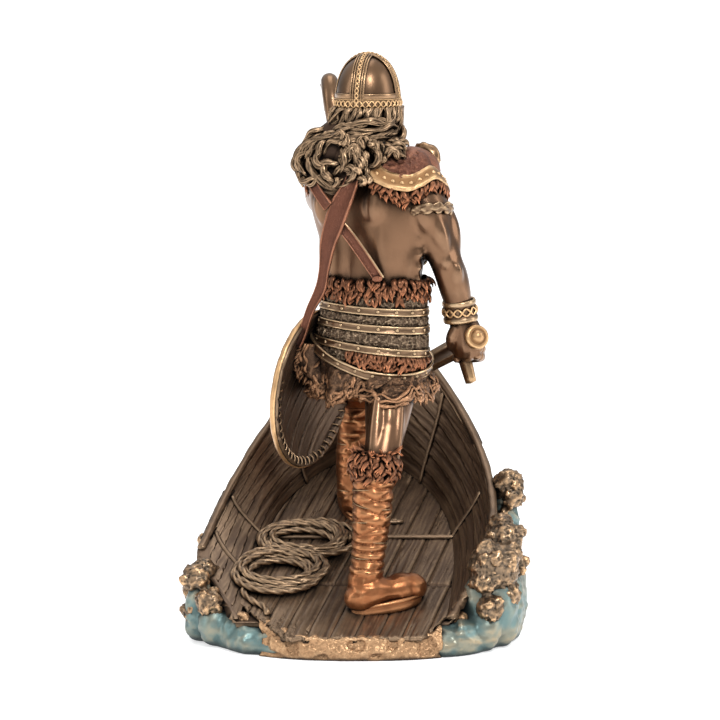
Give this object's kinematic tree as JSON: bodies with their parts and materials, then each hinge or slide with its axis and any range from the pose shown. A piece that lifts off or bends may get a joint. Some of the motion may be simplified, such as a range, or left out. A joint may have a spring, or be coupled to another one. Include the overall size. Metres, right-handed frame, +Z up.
{
  "type": "viking warrior statue",
  "caption": "Cold-cast bronze statuette of a helmeted viking with sword and round shield, striding to the dragon prow of a longship on a foaming sea.",
  "frame": {"origin": "middle of the bounding box, on the flat underside", "axes": "+Z up; +Y from the open end of the hull to the prow, the way the warrior strides; +X to his right"},
  "size_m": [0.1624, 0.205, 0.27],
  "materials": {
    "cold_cast_bronze": "antiqued brown bronze, dark in the hollows and rubbed light on the high spots, with copper, gold and sea-green tints"
  },
  "bodies": {
    "root": {"viking_statue": "cold_cast_bronze"}
  },
  "joints": []
}
